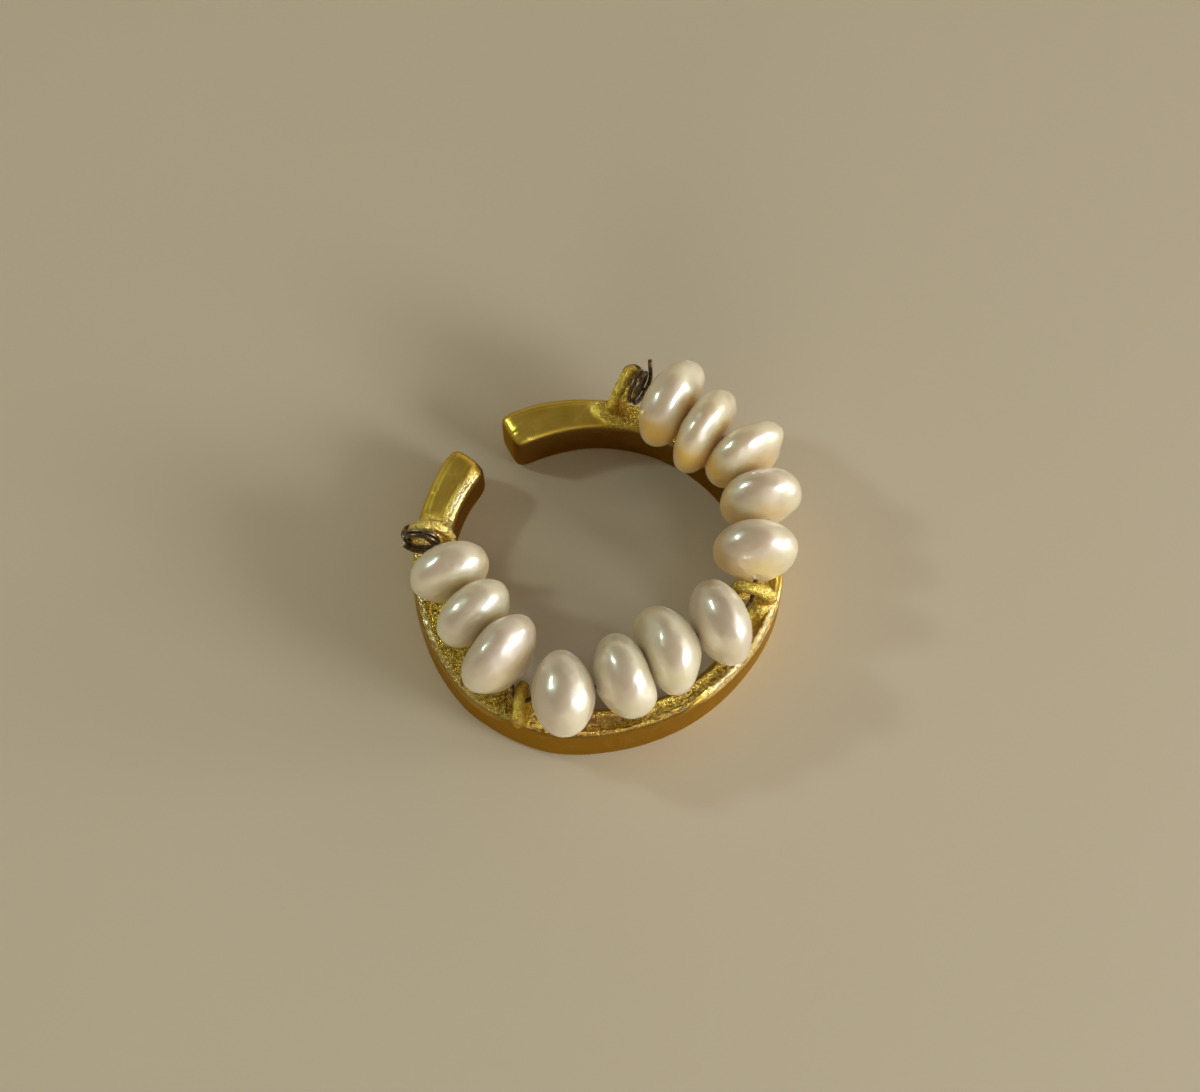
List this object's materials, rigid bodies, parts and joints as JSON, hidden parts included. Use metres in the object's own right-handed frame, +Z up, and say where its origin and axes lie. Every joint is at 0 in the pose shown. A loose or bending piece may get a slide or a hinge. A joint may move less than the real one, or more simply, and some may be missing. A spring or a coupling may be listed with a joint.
{
  "type": "pearl ring",
  "caption": "Open finger ring of gilt metal, with drilled button pearls strung on wire along one side face, through small soldered loops.",
  "frame": {"origin": "centre of the finger hole, in the plane of the side face that the ring lies on", "axes": "+Z up along the finger hole, from the face it lies on towards the pearls; +X to the right and +Y away from the viewer in the picture"},
  "size_m": [0.0223, 0.0228, 0.0085],
  "materials": {
    "gilt_brass": "satin",
    "pearl": "gloss",
    "dark_wire": "satin"
  },
  "bodies": {
    "root": {"band": "gilt_brass", "pearl_1": "pearl", "pearl_2": "pearl", "pearl_3": "pearl", "pearl_4": "pearl", "pearl_5": "pearl", "pearl_6": "pearl", "pearl_7": "pearl", "pearl_8": "pearl", "pearl_9": "pearl", "pearl_10": "pearl", "pearl_11": "pearl", "pearl_12": "pearl", "stringing_wire": "dark_wire"}
  },
  "joints": []
}
